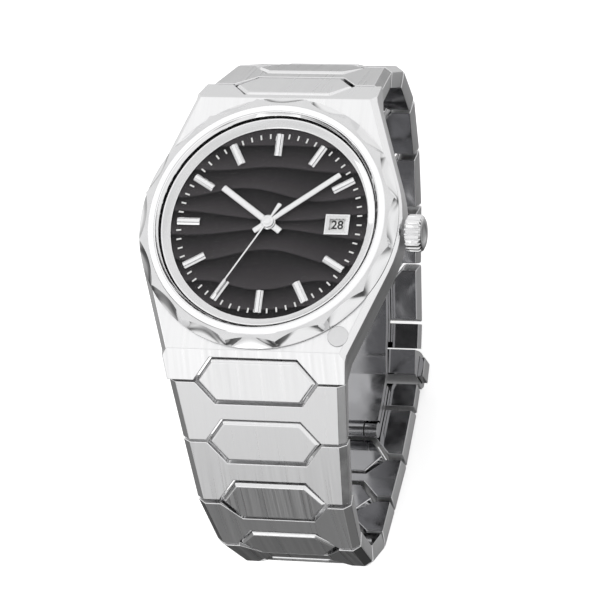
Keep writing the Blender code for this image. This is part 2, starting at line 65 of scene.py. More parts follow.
@dataclass
class Skin:
    """A surface as points and faces, in millimetres.

    Args:
        points: One row of X, Y and Z for each point.
        faces: The point numbers round each face.
        tones: Painted shade for each point, darkest where shade falls, which a material may read.
    """

    points: np.ndarray
    faces: list[list[int]]
    tones: np.ndarray | None = None

    def __add__(self, other: Skin) -> Skin:
        """This skin and another as one, still as separate shells."""
        shift = len(self.points)
        moved = [[i + shift for i in face] for face in other.faces]
        return Skin(np.vstack([self.points, other.points]), self.faces + moved)

    def moved(self, offset: tuple[float, float, float]) -> Skin:
        """The same skin, shifted."""
        return Skin(self.points + np.asarray(offset, float), self.faces, self.tones)

    def on_head(self) -> Skin:
        """The same skin, raised from heights over the dial to heights over the floor."""
        return self.moved((0.0, 0.0, DIAL_HEIGHT))

    def turned(self, degrees: float) -> Skin:
        """The same skin turned clockwise round Z, as a hand turns."""
        cosine, sine = math.cos(math.radians(degrees)), math.sin(math.radians(degrees))
        turn = np.array([[cosine, sine, 0], [-sine, cosine, 0], [0, 0, 1]])
        return Skin(self.points @ turn.T, self.faces, self.tones)

    def volume(self) -> float:
        """The signed volume, from the tetrahedra between the origin and a fan over each face."""
        total = 0.0
        quads = np.array([face for face in self.faces if len(face) == 4], int)
        centre = self.points.mean(axis=0)
        if len(quads):
            a, b, c, d = (self.points[quads[:, k]] - centre for k in range(4))
            total += np.einsum("ij,ij->i", a, np.cross(b, c) + np.cross(c, d)).sum()
        for face in self.faces:
            if len(face) != 4:
                ring = self.points[face] - centre
                total += (ring[0] * np.cross(ring[1:-1], ring[2:])).sum()
        return float(total)

    def outward(self) -> Skin:
        """The same skin with its faces turned to look out of the shell."""
        if self.volume() < 0:
            return Skin(self.points, [list(face)[::-1] for face in self.faces], self.tones)
        return self


def skin_of(rings: np.ndarray, closed_rows: bool = False) -> Skin:
    """Joins rings of points, each to the next, with square faces.

    Args:
        rings: Rows of rings by columns of points by X, Y and Z.
        closed_rows: Whether the last ring joins the first, as on a torus, instead of a cap at each end.

    Returns:
        A closed skin that faces outwards.
    """
    rows, columns = rings.shape[:2]
    number = np.arange(rows * columns).reshape(rows, columns)
    along = np.roll(number, -1, axis=1)
    upper_rows = number if closed_rows else number[:-1]
    lower, lower_next = upper_rows, along if closed_rows else along[:-1]
    upper = np.roll(number, -1, axis=0)[: len(upper_rows)]
    upper_next = np.roll(along, -1, axis=0)[: len(upper_rows)]
    faces = np.stack([lower, lower_next, upper_next, upper], axis=-1).reshape(-1, 4).tolist()
    if not closed_rows:
        faces += [number[0][::-1].tolist(), number[-1].tolist()]
    return Skin(rings.reshape(-1, 3), faces).outward()


def round_angles(steps: int) -> np.ndarray:
    """Equal steps round a circle, in radians from Y."""
    return np.linspace(0.0, math.tau, steps, endpoint=False)


def circle(radius: np.ndarray | float, height: np.ndarray | float, angles: np.ndarray) -> np.ndarray:
    """Points round Z at x = r sin a, y = r cos a.

    Args:
        radius: The radius, for all points or for each.
        height: The height, for all points or for each.
        angles: The angle a of each point.

    Returns:
        Rows of X, Y and Z.
    """
    x, y = radius * np.sin(angles), radius * np.cos(angles)
    return np.column_stack([x, y, np.broadcast_to(height, x.shape)])


def turned_skin(profile: list[tuple[float, float]], steps: int) -> Skin:
    """A profile of radius and height swept round Z.

    Args:
        profile: Radius and height at each corner, as a closed loop clear of the axis.
        steps: How many turns the circle is cut into.

    Returns:
        The closed ring.
    """
    angles = round_angles(steps)
    rings = [circle(radius, height, angles) for radius, height in profile]
    return skin_of(np.array(rings), closed_rows=True)


def disc_skin(
    layers: list[tuple[float, float]],
    steps: int,
    centre: tuple[float, float] = (0.0, 0.0),
) -> Skin:
    """A stack of circles closed by flat ends.

    Args:
        layers: Radius and height of each circle.
        steps: How many points each circle has.
        centre: X and Y of the axis.

    Returns:
        The closed disc.
    """
    angles = round_angles(steps)
    rings = [circle(radius, height, angles) for radius, height in layers]
    return skin_of(np.array(rings)).moved((*centre, 0.0))


def stacked(outline: np.ndarray, layers: list[tuple[float, float, float]]) -> Skin:
    """An outline drawn at several heights, pulled in towards the origin in X and in Y.

    Args:
        outline: X and Y of each point of the outline.
        layers: For each ring, its height and how far its sides move in along X and along Y.

    Returns:
        The closed stack.
    """
    half = np.abs(outline).max(axis=0)
    rings = []
    for height, in_x, in_y in layers:
        share = (half - np.array([in_x, in_y])) / half
        flat = outline * share
        rings.append(np.column_stack([flat, np.full(len(flat), height)]))
    return skin_of(np.array(rings))


def box_outline(width: float, length: float) -> np.ndarray:
    """The corners of a rectangle about the origin."""
    return np.array([(-1, -1), (1, -1), (1, 1), (-1, 1)]) * np.array([width, length]) / 2


def node_skin(node: str) -> Skin:
    """A copy of a CAD node's surface, its loose triangles joined into whole flat faces.

    Args:
        node: The CAD node's name.

    Returns:
        Its surface in millimetres, which can be bevelled.
    """
    bm = bmesh.new()
    bm.from_mesh(frame["nodes"][node].data)
    bmesh.ops.remove_doubles(bm, verts=bm.verts, dist=1e-6)
    bmesh.ops.dissolve_limit(bm, angle_limit=math.radians(1.0), verts=bm.verts, edges=bm.edges)
    bm.verts.index_update()
    points = np.array([v.co for v in bm.verts]) / MM
    faces = [[v.index for v in f.verts] for f in bm.faces]
    bm.free()
    return Skin(points, faces)


# ---------------------------------------------------------------- materials

class Slot(Enum):
    """The record's material slots."""

    BRUSHED = "brushed_steel"
    POLISHED = "polished_steel"
    DIAL = "charcoal_dial"
    CRYSTAL = "sapphire"
    DATE = "date_white"
    GASKET = "gasket_rubber"
    MOVEMENT = "movement_metal"


class Grain(Enum):
    """Which way a brushed finish runs, as the noise's scale per metre along X, Y and Z."""

    ALONG_STRAND = (12000.0, 160.0, 160.0)
    ALONG_FLANK = (120.0, 120.0, 9000.0)
    ROUND = (1800.0, 1800.0, 1800.0)


def node_group(
    name: str,
    inputs: dict[str, float],
    outputs: list[str],
) -> tuple[bpy.types.NodeTree, bpy.types.Node, bpy.types.Node]:
    """An empty shader group with number sockets.

    Args:
        name: The group's name.
        inputs: Each input's name and its default.
        outputs: Each output's name.

    Returns:
        The group with its input and output nodes.
    """
    group = bpy.data.node_groups.new(name, "ShaderNodeTree")
    for label, value in inputs.items():
        socket = group.interface.new_socket(label, in_out="INPUT", socket_type="NodeSocketFloat")
        socket.default_value = value
    for label in outputs:
        group.interface.new_socket(label, in_out="OUTPUT", socket_type="NodeSocketFloat")
    return group, group.nodes.new("NodeGroupInput"), group.nodes.new("NodeGroupOutput")


def ranged(
    tree: bpy.types.NodeTree,
    source: bpy.types.NodeSocket,
    low: float | bpy.types.NodeSocket,
    high: float | bpy.types.NodeSocket,
    start: float = 0.0,
    end: float = 1.0,
) -> bpy.types.NodeSocket:
    """Maps a value from start and end to low and high, which may be numbers or sockets.

    Args:
        tree: The tree to build in.
        source: The socket to map.
        low: The result at start.
        high: The result at end.
        start: The source value at the low end.
        end: The source value at the high end.

    Returns:
        The result socket.
    """
    spread = tree.nodes.new("ShaderNodeMapRange")
    spread.inputs["From Min"].default_value = start
    spread.inputs["From Max"].default_value = end
    tree.links.new(source, spread.inputs["Value"])
    for label, value in (("To Min", low), ("To Max", high)):
        if isinstance(value, (int, float)):
            spread.inputs[label].default_value = value
        else:
            tree.links.new(value, spread.inputs[label])
    return spread.outputs["Result"]


def brushed_group(grain: Grain) -> bpy.types.NodeTree:
    """Fine parallel scratches: noise stretched along the brushing, at two sizes, with a slow drift in tone.

    Args:
        grain: Which way the brushing runs.

    Returns:
        A group with a Height of the scratches, a Tone that darkens the deep ones and a Roughness.
    """
    name = f"brushing_{grain.name.lower()}"
    if name in bpy.data.node_groups:
        return bpy.data.node_groups[name]
    defaults = {"Roughness Low": 0.25, "Roughness High": 0.4, "Tone Low": 0.8}
    group, entry, result = node_group(name, defaults, ["Height", "Tone", "Roughness"])
    place = group.nodes.new("ShaderNodeTexCoord")
    stretch = group.nodes.new("ShaderNodeMapping")
    stretch.inputs["Scale"].default_value = grain.value
    group.links.new(place.outputs["Object"], stretch.inputs["Vector"])
    fine = group.nodes.new("ShaderNodeTexNoise")
    fine.inputs["Scale"].default_value = 1.0
    fine.inputs["Detail"].default_value = 3.0
    fine.inputs["Roughness"].default_value = 0.65
    group.links.new(stretch.outputs["Vector"], fine.inputs["Vector"])
    slow = group.nodes.new("ShaderNodeTexNoise")
    slow.inputs["Scale"].default_value = 0.22
    group.links.new(stretch.outputs["Vector"], slow.inputs["Vector"])
    both = group.nodes.new("ShaderNodeMath")
    both.operation = "MULTIPLY_ADD"
    group.links.new(slow.outputs["Fac"], both.inputs[0])
    both.inputs[1].default_value = 0.3
    group.links.new(fine.outputs["Fac"], both.inputs[2])
    group.links.new(both.outputs["Value"], result.inputs["Height"])
    tone_low = entry.outputs["Tone Low"]
    tone = ranged(group, both.outputs["Value"], tone_low, 1.0, start=0.45, end=0.8)
    group.links.new(tone, result.inputs["Tone"])
    low, high = entry.outputs["Roughness Low"], entry.outputs["Roughness High"]
    rough = ranged(group, slow.outputs["Fac"], low, high, start=0.3, end=0.7)
    group.links.new(rough, result.inputs["Roughness"])
    return group


def polish_group() -> bpy.types.NodeTree:
    """A worn-in mirror polish: faint haze in the roughness."""
    if "polish" in bpy.data.node_groups:
        return bpy.data.node_groups["polish"]
    defaults = {"Roughness Low": 0.05, "Roughness High": 0.14}
    group, entry, result = node_group("polish", defaults, ["Roughness", "Height"])
    place = group.nodes.new("ShaderNodeTexCoord")
    haze = group.nodes.new("ShaderNodeTexNoise")
    haze.inputs["Scale"].default_value = 420.0
    haze.inputs["Detail"].default_value = 5.0
    group.links.new(place.outputs["Object"], haze.inputs["Vector"])
    low, high = entry.outputs["Roughness Low"], entry.outputs["Roughness High"]
    rough = ranged(group, haze.outputs["Fac"], low, high, start=0.35, end=0.7)
    group.links.new(rough, result.inputs["Roughness"])
    group.links.new(haze.outputs["Fac"], result.inputs["Height"])
    return group


def speckle_group() -> bpy.types.NodeTree:
    """A paint's fine grains, as dense noise."""
    if "speckle" in bpy.data.node_groups:
        return bpy.data.node_groups["speckle"]
    group, entry, result = node_group("speckle", {"Grain Size": 9000.0}, ["Grain", "Height"])
    place = group.nodes.new("ShaderNodeTexCoord")
    grains = group.nodes.new("ShaderNodeTexNoise")
    grains.inputs["Detail"].default_value = 2.0
    group.links.new(place.outputs["Object"], grains.inputs["Vector"])
    group.links.new(entry.outputs["Grain Size"], grains.inputs["Scale"])
    grain = ranged(group, grains.outputs["Fac"], 0.0, 1.0, start=0.3, end=0.75)
    group.links.new(grain, result.inputs["Grain"])
    group.links.new(grains.outputs["Fac"], result.inputs["Height"])
    return group


@dataclass(frozen=True)
class Finish:
    """A surface finish, built once as a material.

    Args:
        label: The material's name.
        slot: The record's slot that it belongs to; not used.
        colour: The base colour.
        metallic: 1 for bare metal.
    """

    label: str
    slot: Slot
    colour: tuple[float, float, float]
    metallic: float = 1.0

    def material(self) -> bpy.types.Material:
        """The material, made the first time it is asked for."""
        if self.label in bpy.data.materials:
            return bpy.data.materials[self.label]
        made = bpy.data.materials.new(self.label)
        made.use_nodes = True
        tree = made.node_tree
        shader = tree.nodes["Principled BSDF"]
        shader.inputs["Base Color"].default_value = (*self.colour, 1.0)
        shader.inputs["Metallic"].default_value = self.metallic
        self.dress(tree, shader)
        return made

    def dress(self, tree: bpy.types.NodeTree, shader: bpy.types.Node) -> None:
        """Adds the finish's own nodes. The plain finish has none."""

    def tint(
        self,
        tree: bpy.types.NodeTree,
        shader: bpy.types.Node,
        mask: bpy.types.NodeSocket,
        dark: float,
    ) -> None:
        """Feeds the base colour with a mix between a darker tone and the finish's colour.

        Args:
            tree: The material's tree.
            shader: Its Principled BSDF.
            mask: 0 where the tone is dark, 1 where the colour is whole.
            dark: How much of the colour is left where it is dark.
        """
        mix = tree.nodes.new("ShaderNodeMix")
        mix.data_type = "RGBA"
        mix.inputs["A"].default_value = (*(dark * c for c in self.colour), 1.0)
        mix.inputs["B"].default_value = (*self.colour, 1.0)
        tree.links.new(mask, mix.inputs["Factor"])
        tree.links.new(mix.outputs["Result"], shader.inputs["Base Color"])

    def bump(
        self,
        tree: bpy.types.NodeTree,
        shader: bpy.types.Node,
        height: bpy.types.NodeSocket,
        depth: float,
    ) -> None:
        """Feeds the normal with a bump.

        Args:
            tree: The material's tree.
            shader: Its Principled BSDF.
            height: The height socket, from 0 to 1.
            depth: How deep the whole height is, in metres.
        """
        relief = tree.nodes.new("ShaderNodeBump")
        relief.inputs["Distance"].default_value = depth
        tree.links.new(height, relief.inputs["Height"])
        tree.links.new(relief.outputs["Normal"], shader.inputs["Normal"])


@dataclass(frozen=True)
class Brushed(Finish):
    """Steel brushed one way.

    Args:
        grain: Which way the brushing runs.
        roughness: The lowest and highest roughness.
        depth: How deep the scratches look, in metres.
    """

    grain: Grain = Grain.ALONG_STRAND
    roughness: tuple[float, float] = (0.26, 0.4)
    depth: float = 1.3e-6

    def dress(self, tree: bpy.types.NodeTree, shader: bpy.types.Node) -> None:
        """Adds the scratches to the colour, roughness and normal."""
        scratches = tree.nodes.new("ShaderNodeGroup")
        scratches.node_tree = brushed_group(self.grain)
        scratches.inputs["Roughness Low"].default_value = self.roughness[0]
        scratches.inputs["Roughness High"].default_value = self.roughness[1]
        tree.links.new(scratches.outputs["Roughness"], shader.inputs["Roughness"])
        self.tint(tree, shader, scratches.outputs["Tone"], dark=0.86)
        self.bump(tree, shader, scratches.outputs["Height"], self.depth)


@dataclass(frozen=True)
class Polished(Finish):
    """Steel polished bright.

    Args:
        roughness: The lowest and highest roughness.
    """

    roughness: tuple[float, float] = (0.05, 0.13)

    def dress(self, tree: bpy.types.NodeTree, shader: bpy.types.Node) -> None:
        """Adds the haze to the roughness and a trace of it to the normal."""
        haze = tree.nodes.new("ShaderNodeGroup")
        haze.node_tree = polish_group()
        haze.inputs["Roughness Low"].default_value = self.roughness[0]
        haze.inputs["Roughness High"].default_value = self.roughness[1]
        tree.links.new(haze.outputs["Roughness"], shader.inputs["Roughness"])
        self.bump(tree, shader, haze.outputs["Height"], depth=1.0e-6)


@dataclass(frozen=True)
class DialPaint(Finish):
    """The dial's charcoal lacquer with painted shade, darkest in the hollow under each wave and lighter
    towards the crest, and full of fine grains.
    """

    def dress(self, tree: bpy.types.NodeTree, shader: bpy.types.Node) -> None:
        """Mixes the painted shade of the hollows and the crests' full colour by the mesh's painted shade
        attribute, then the grains over them.
        """
        painted_shade = tree.nodes.new("ShaderNodeAttribute")
        painted_shade.attribute_name = "painted_shade"
        grains = tree.nodes.new("ShaderNodeGroup")
        grains.node_tree = speckle_group()
        mixed = tree.nodes.new("ShaderNodeMath")
        mixed.operation = "MULTIPLY_ADD"
        tree.links.new(grains.outputs["Grain"], mixed.inputs[0])
        mixed.inputs[1].default_value = 0.3
        tree.links.new(painted_shade.outputs["Fac"], mixed.inputs[2])
        shader.inputs["Specular IOR Level"].default_value = 0.12
        # painted shade: the lacquer's colour falls to 0.12 of itself in each wave's hollow
        self.tint(tree, shader, mixed.outputs["Value"], dark=0.12)
        rough = ranged(tree, grains.outputs["Grain"], 0.62, 0.4)
        tree.links.new(rough, shader.inputs["Roughness"])
        self.bump(tree, shader, grains.outputs["Height"], depth=4.0e-6)


@dataclass(frozen=True)
class Crystal(Finish):
    """Clear sapphire with a coating that leaves almost no reflection."""

    def dress(self, tree: bpy.types.NodeTree, shader: bpy.types.Node) -> None:
        """Sets a thin see-through sheet with a little gloss, hazed by a trace of noise."""
        haze = tree.nodes.new("ShaderNodeGroup")
        haze.node_tree = polish_group()
        haze.inputs["Roughness Low"].default_value = 0.01
        haze.inputs["Roughness High"].default_value = 0.03
        tree.links.new(haze.outputs["Roughness"], shader.inputs["Roughness"])
        shader.inputs["Alpha"].default_value = 0.04
        shader.inputs["IOR"].default_value = 1.2


@dataclass(frozen=True)
class Matte(Finish):
    """Paint, print or rubber with a fine grain.

    Args:
        roughness: The lowest and highest roughness.
    """

    metallic: float = 0.0
    roughness: tuple[float, float] = (0.45, 0.6)

    def dress(self, tree: bpy.types.NodeTree, shader: bpy.types.Node) -> None:
        """Adds the grain to the roughness, the tone and the normal."""
        grains = tree.nodes.new("ShaderNodeGroup")
        grains.node_tree = speckle_group()
        rough = ranged(tree, grains.outputs["Grain"], *self.roughness)
        tree.links.new(rough, shader.inputs["Roughness"])
        self.tint(tree, shader, ranged(tree, grains.outputs["Grain"], 0.6, 1.0), dark=0.85)
        self.bump(tree, shader, grains.outputs["Height"], depth=1.5e-6)


STEEL = (0.77, 0.77, 0.775)
FLANK_STEEL = (0.74, 0.74, 0.745)
BRIGHT_STEEL = (0.8, 0.8, 0.805)
# painted shade: steel darkened for the faces inside the bracelet's loop, where shade falls
SHADE_PAINTED_STEEL = (0.3, 0.3, 0.31)
LAND_STEEL = (0.6, 0.6, 0.605)
CHARCOAL = (0.066, 0.06, 0.064)
GLASS_GREY = (0.08, 0.085, 0.09)
PRINT_WHITE = (0.86, 0.86, 0.85)
CARD_WHITE = (0.98, 0.98, 0.97)
INK = (0.015, 0.015, 0.016)
RUBBER_BLACK = (0.025, 0.025, 0.026)
PALE_BRASS = (0.72, 0.62, 0.42)

BRUSHED_TOP = Brushed("brushed_top", Slot.BRUSHED, STEEL)
BRUSHED_FLANK = Brushed(
    "brushed_flank",
    Slot.BRUSHED,
    FLANK_STEEL,
    grain=Grain.ALONG_FLANK,
    roughness=(0.34, 0.46),
)
POLISHED = Polished("polished", Slot.POLISHED, BRIGHT_STEEL)
# real polish on the inner faces, with painted shade in their dark colour
INSIDE_POLISH_PAINTED_SHADE = Polished("inside_polish_painted_shade", Slot.POLISHED, SHADE_PAINTED_STEEL, roughness=(0.05, 0.14))
BEVEL_POLISH = Polished("bevel_polish", Slot.POLISHED, BRIGHT_STEEL, roughness=(0.1, 0.2))
SATIN = Brushed(
    "satin_land",
    Slot.POLISHED,
    LAND_STEEL,
    grain=Grain.ROUND,
    roughness=(0.22, 0.34),
    depth=8e-7,
)
DIAL_PAINT = DialPaint("dial_paint", Slot.DIAL, CHARCOAL, metallic=0.0)
CLEAR = Crystal("clear_sapphire", Slot.CRYSTAL, GLASS_GREY, metallic=0.0)
WHITE_PRINT = Matte("white_print", Slot.DIAL, PRINT_WHITE)
DATE_CARD = Matte("date_card", Slot.DATE, CARD_WHITE)
BLACK_PRINT = Matte("black_print", Slot.DATE, INK)
RUBBER = Matte("gasket_rubber", Slot.GASKET, RUBBER_BLACK, roughness=(0.6, 0.8))
WORKS = Brushed(
    "plated_works",
    Slot.MOVEMENT,
    PALE_BRASS,
    grain=Grain.ROUND,
    roughness=(0.25, 0.42),
)


# ---------------------------------------------------------------- pieces

SQUARE_ON = 0.97  # the least share of a normal along an axis that counts as square to it
ASLANT = 0.08  # the least share along X that counts as leaning that way


def place_piece(
    name: str,
    skin: Skin,
    finishes: list[Finish],
    body: str,
    replaced: tuple[str, ...] = (),
    crease: float = 28.0,
    bevel: float = 0.0,
    picks: np.ndarray | None = None,
) -> bpy.types.Object:
    """Makes one visible piece of the watch from a skin.

    Args:
        name: The piece's name.
        skin: Its surface in millimetres.
        finishes: Its materials, the first being the main one.
        body: The CAD body that it moves with.
        replaced: The CAD nodes that it stands for.
        crease: The angle in degrees above which an edge stays sharp.
        bevel: The width of the rounded edges in millimetres, or 0 for none.
        picks: The finish number of each face, where there is more than one.

    Returns:
        The new object.
    """
    mesh = bpy.data.meshes.new(name)
    mesh.from_pydata((skin.points * MM).tolist(), [], skin.faces)
    mesh.update()
    for finish in finishes:
        mesh.materials.append(finish.material())
    if picks is not None:
        mesh.polygons.foreach_set("material_index", picks.astype(np.int32))
    # a skin's painted shade, where it has one, goes to a point attribute that its material reads
    if skin.tones is not None:
        painted_shade = mesh.attributes.new("painted_shade", "FLOAT", "POINT")
        painted_shade.data.foreach_set("value", skin.tones.astype(np.float32))
    mesh.shade_smooth()
    mesh.set_sharp_from_angle(angle=math.radians(crease))
    piece = bpy.data.objects.new(name, mesh)
    bpy.context.scene.collection.objects.link(piece)
    if bevel:
        rounding = piece.modifiers.new("edges", "BEVEL")
        rounding.width = bevel * MM
        rounding.segments = 2
        rounding.limit_method = "ANGLE"
        rounding.angle_limit = math.radians(crease)
        rounding.harden_normals = True
    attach(piece, body)
    if replaced:
        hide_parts(*replaced)
    log.info("%s on %s: %d faces", name, body, len(skin.faces))
    return piece


def skin_centres(skin: Skin) -> np.ndarray:
    """The middle of each face, as the mean of its corners."""
    return np.array([skin.points[face].mean(axis=0) for face in skin.faces])


def face_normals(skin: Skin) -> np.ndarray:
    """The unit normal of each face, from the sum of the cross products round it."""
    normals = []
    for face in skin.faces:
        ring = skin.points[face]
        normal = np.cross(ring, np.roll(ring, -1, axis=0)).sum(axis=0)
        normals.append(normal / max(np.linalg.norm(normal), 1e-12))
    return np.array(normals)


def faces_inward(skin: Skin) -> np.ndarray:
    """Which faces look into the bracelet's loop, their normal within 60 degrees of its middle: the faces
    that get painted shade.
    """
    to_middle = np.array([0.0, 0.0, DIAL_HEIGHT / 2]) - skin_centres(skin)
    to_middle[:, 0] = 0.0
    to_middle /= np.linalg.norm(to_middle, axis=1)[:, None]
    return (face_normals(skin) * to_middle).sum(axis=1) > 0.5


def brushed_piece(name: str, node: str, body: str, bevel: float) -> bpy.types.Object:
    """A bevelled copy of a CAD node, brushed along the strand, with brushed flanks, polished slopes and
    polished inner faces darkened by painted shade.

    Args:
        name: The piece's name.
        node: The CAD node that it copies and replaces.
        body: The body that it moves with.
        bevel: The width of its rounded edges.

    Returns:
        The new object.
    """
    skin = node_skin(node)
    across = np.abs(face_normals(skin)[:, 0])
    picks = np.where(across > SQUARE_ON, 1, np.where(across > ASLANT, 2, 0))
    # faces into the loop: polished, with painted shade in their dark colour
    picks = np.where(faces_inward(skin), 3, picks)
    finishes = [BRUSHED_TOP, BRUSHED_FLANK, BEVEL_POLISH, INSIDE_POLISH_PAINTED_SHADE]
    return place_piece(name, skin, finishes, body, (node,), bevel=bevel, picks=picks)


# ---------------------------------------------------------------- head

@dataclass
class Case:
    """The barrel-shaped case with its back.

    Args:
        bevel: The width of the case's rounded edges.
        inner_radius: Faces nearer the axis than this line the case's bore.
        back_radius: The radius of the screwed back.
        back_foot: The height of its underside.
        notch_count: How many notches its key has.
        notch_depth: How deep each notch is.
        notch_pitch: The steps round the back from one notch to the next.
        notch_width: The steps that a notch takes up.
    """

    bevel: float = 0.14
    inner_radius: float = 17.5
    back_radius: float = 17.0
    back_foot: float = -9.3
    notch_count: int = 6
    notch_depth: float = 0.45
    notch_pitch: int = 24
    notch_width: int = 3

    def build(self) -> None:
        """Dresses the case and replaces its back with a turned one."""
        skin = node_skin("case_body")
        normals = face_normals(skin)
        across, up = np.abs(normals[:, 0]), normals[:, 2]
        centres = skin_centres(skin)
        outside = np.hypot(centres[:, 0], centres[:, 1]) > self.inner_radius
        turned_out = across > ASLANT / 2
        flank = turned_out & (up < 0.1) & outside
        slope = turned_out & (up > 0.1) & (up < SQUARE_ON)
        picks = np.where(flank, 1, np.where(slope, 2, 0))
        finishes = [BRUSHED_TOP, BRUSHED_FLANK, BEVEL_POLISH]
        place_piece(
            "case",
            skin,
            finishes,
            "head",
            ("case_body",),
            crease=20.0,
            bevel=self.bevel,
            picks=picks,
        )
        self.back()
        for node, finish in (("case_back_gasket", RUBBER), ("movement", WORKS), ("winding_rotor", WORKS)):
            dress_node(node, finish)
        dress_node("crown_stem", POLISHED)

    def back(self) -> None:
        """The screwed back: a domed disc with a polished rim, turned grooves and notches for the key."""
        r, foot = self.back_radius, self.back_foot
        layers = [(r, -7.42), (r, -8.6), (r - 0.1, -8.74), (r - 1.4, foot + 0.03), (r - 1.5, foot)]
        for edge, depth in ((12.6, 0.08), (7.0, 0.05)):
            layers += [(edge, foot), (edge - 0.1, foot + depth)]
            layers += [(edge - 0.3, foot + depth), (edge - 0.4, foot)]
        layers += [(0.4, foot)]
        steps = self.notch_count * self.notch_pitch
        in_notch = np.arange(steps) % self.notch_pitch < self.notch_width
        sunk = np.where(in_notch, self.notch_depth, 0.0)
        first_groove = layers.index((12.6, foot))
        rings = []
        for order, (radius, z) in enumerate(layers):
            cut = sunk if order in (first_groove - 1, first_groove) else 0.0
            rings.append(circle(radius, z + cut, round_angles(steps)))
        skin = skin_of(np.array(rings)).on_head()
        up = face_normals(skin)[:, 2]
        picks = np.where(up < -0.99, 1, 0)
        finishes = [POLISHED, SATIN]
        place_piece("screwed_back", skin, finishes, "head", ("case_back",), crease=24.0, picks=picks)


def dress_node(node: str, finish: Finish) -> None:
    """Gives a CAD node that stays in view a finish of its own."""
    data = frame["nodes"][node].data
    data.materials.clear()
    data.materials.append(finish.material())
    log.info("%s dressed as %s", node, finish.label)


@dataclass
class Bezel:
    """The round bezel: concave scallops round a flat land, a raised bright ring and an inner slope.

    Args:
        count: How many scallops go round.
        middle: The land's radius in the middle of a scallop.
        vertex: Its radius where two scallops meet.
        outer: The radius of the bezel's foot.
        bore: The radius of its opening.
        foot: The height of its underside.
        top: The height of the bright ring.
        lip: The height of the scallops' lower edge.
        sag: How far a scallop's middle lies under the straight slope.
        steps: How many steps each scallop is cut into.
    """

    count: int = 16
    middle: float = 18.3
    vertex: float = 19.25
    outer: float = 19.6
    bore: float = 16.4
    foot: float = 0.1
    top: float = 1.85
    lip: float = 0.42
    sag: float = 0.11
    steps: int = 20

    def build(self) -> None:
        """Makes the ring, its land bounded by rim(p) = middle + (vertex - middle) p^2, p from -1 to 1."""
        share = np.arange(self.count * self.steps) / self.steps
        phase = ((share + 0.5) % 1.0 - 0.5) * 2.0
        rim = self.middle + (self.vertex - self.middle) * phase**2
        angles = math.tau * share / self.count
        rows = [(self.bore, self.foot), (self.outer - 0.04, self.foot), (self.outer, self.foot + 0.06)]
        rise = self.top - 0.14 - self.lip
        for step in np.linspace(0, 1, 7):
            height = self.lip + rise * step - 4 * self.sag * step * (1 - step)
            rows.append((self.outer + (rim - self.outer) * step, height))
        groove, slope = self.top - 0.13, self.top - 0.05
        rows += [(17.92, self.top - 0.09), (17.84, self.top), (17.1, self.top)]
        rows += [(17.02, self.top - 0.02), (16.97, groove), (16.9, groove), (16.86, slope)]
        rows += [(16.8, slope), (16.52, 1.37), (16.44, 1.3), (self.bore, 1.2)]
        rings = [circle(radius, height, angles) for radius, height in rows]
        skin = skin_of(np.array(rings), closed_rows=True)
        centres = skin_centres(skin)
        outside = np.hypot(centres[:, 0], centres[:, 1]) > 17.9
        level = np.abs(face_normals(skin)[:, 2]) > SQUARE_ON
        picks = np.where(level & outside & (centres[:, 2] > 1.5), 1, 0)
        finishes = [POLISHED, SATIN]
        place_piece("bezel_ring", skin.on_head(), finishes, "head", ("bezel",), crease=18.0, picks=picks)


